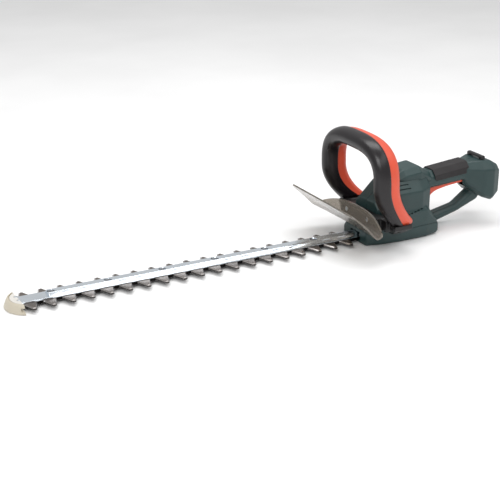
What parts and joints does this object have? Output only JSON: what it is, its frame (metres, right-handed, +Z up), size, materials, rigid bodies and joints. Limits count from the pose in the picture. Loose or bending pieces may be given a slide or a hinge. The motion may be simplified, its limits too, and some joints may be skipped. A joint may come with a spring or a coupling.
{
  "type": "hedge trimmer",
  "caption": "Cordless double-sided hedge trimmer: toothed sliding cutter bar with tip guard, clear hand guard, loop front handle with switch bar and trigger rear handle, without its battery.",
  "frame": {"origin": "centre of the overall box, at the height of the base that it rests on", "axes": "+X along the cutter bar from the blade tip towards the rear handle, +Y across the bar, +Z up from the base"},
  "size_m": [0.8445, 0.2, 0.183],
  "materials": {
    "spine_bar": "polished",
    "upper_blade": "satin, ground edges",
    "lower_blade": "dark satin, ground edges",
    "blade_screws": "dark zinc",
    "blade_sleeves": "plain",
    "blade_nuts": "blackened",
    "tip_guard": "satin",
    "tip_screws": "zinc",
    "hand_guard": "smoky clear plastic",
    "hand_guard_screws": "zinc",
    "housing_left": "fine texture",
    "housing_right": "fine texture",
    "housing_screws": "blackened",
    "base_plate": "cast",
    "base_screws": "blackened",
    "motor_hood": "fine texture",
    "gearbox_case": "die cast",
    "spine_bolts": "dark zinc",
    "gear_axle": "ground",
    "drive_gear": "hardened",
    "upper_eccentric": "hardened",
    "lower_eccentric": "hardened",
    "pinion": "hardened",
    "armature": "varnished windings",
    "commutator": "turned copper",
    "cooling_fan": "moulded",
    "motor_can": "zinc plated",
    "motor_magnets": "sintered",
    "motor_end_cap": "moulded",
    "front_bearing": "ground",
    "rear_bearing": "ground",
    "loop_saddle": "moulded",
    "loop_shell": "soft satin skin",
    "loop_frame": "moulded",
    "loop_screws": "blackened",
    "switch_bar": "satin",
    "bar_springs": "wire",
    "bar_switch": "moulded",
    "grip_pad": "soft",
    "trigger": "satin",
    "trigger_pin": "ground",
    "trigger_spring": "wire",
    "trigger_switch": "moulded",
    "control_board": "lacquered board",
    "battery_slide": "moulded",
    "battery_contacts": "sprung contacts",
    "hanging_loop": "moulded"
  },
  "bodies": {
    "root": {"spine_bar": "spine_bar", "blade_screws": "blade_screws", "blade_sleeves": "blade_sleeves", "blade_nuts": "blade_nuts", "tip_guard": "tip_guard", "tip_screws": "tip_screws", "hand_guard": "hand_guard", "hand_guard_screws": "hand_guard_screws", "housing_left": "housing_left", "housing_right": "housing_right", "housing_screws": "housing_screws", "base_plate": "base_plate", "base_screws": "base_screws", "motor_hood": "motor_hood", "gearbox_case": "gearbox_case", "spine_bolts": "spine_bolts", "gear_axle": "gear_axle", "motor_can": "motor_can", "motor_magnets": "motor_magnets", "motor_end_cap": "motor_end_cap", "front_bearing": "front_bearing", "rear_bearing": "rear_bearing", "loop_saddle": "loop_saddle", "loop_shell": "loop_shell", "loop_frame": "loop_frame", "loop_screws": "loop_screws", "bar_springs": "bar_springs", "bar_switch": "bar_switch", "grip_pad": "grip_pad", "trigger_pin": "trigger_pin", "trigger_spring": "trigger_spring", "trigger_switch": "trigger_switch", "control_board": "control_board", "battery_slide": "battery_slide", "battery_contacts": "battery_contacts", "hanging_loop": "hanging_loop"},
    "gear": {"drive_gear": "drive_gear", "upper_eccentric": "upper_eccentric", "lower_eccentric": "lower_eccentric"},
    "rotor": {"pinion": "pinion", "armature": "armature", "commutator": "commutator", "cooling_fan": "cooling_fan"},
    "upper_blade": {"upper_blade": "upper_blade"},
    "lower_blade": {"lower_blade": "lower_blade"},
    "trigger": {"trigger": "trigger"},
    "switch_bar": {"switch_bar": "switch_bar"}
  },
  "joints": [
    {"name": "gear_spin", "type": "hinge", "parent": "root", "child": "gear", "pos_m": [0.21425, 0, 0.011], "axis": [0, 0, 1], "continuous": true},
    {"name": "motor_spin", "type": "hinge", "parent": "root", "child": "rotor", "pos_m": [0.25225, 0, 0.011], "axis": [0, 0, 1], "continuous": true},
    {"name": "lower_blade_slide", "type": "slide", "parent": "root", "child": "lower_blade", "axis": [1, 0, 0], "range_m": [-0.007, 0.007]},
    {"name": "upper_blade_slide", "type": "slide", "parent": "root", "child": "upper_blade", "axis": [1, 0, 0], "range_m": [-0.007, 0.007]},
    {"name": "trigger_squeeze", "type": "hinge", "parent": "root", "child": "trigger", "pos_m": [0.37125, 0, 0.085], "axis": [0, 1, 0], "range_deg": [0, 4], "stiffness_Nm_per_rad": 2, "springref_deg": -6.88, "deforming": ["trigger_spring"]},
    {"name": "switch_bar_press", "type": "slide", "parent": "root", "child": "switch_bar", "axis": [-1, 0, 0], "range_m": [0, 0.003], "stiffness_N_per_m": 1500, "springref_m": -0.004, "deforming": ["bar_springs"]}
  ],
  "couplings": [
    {"joint": "motor_spin", "follows": "gear_spin", "ratio": -4.4286},
    {"joint": "upper_blade_slide", "follows": "lower_blade_slide", "ratio": -1}
  ]
}
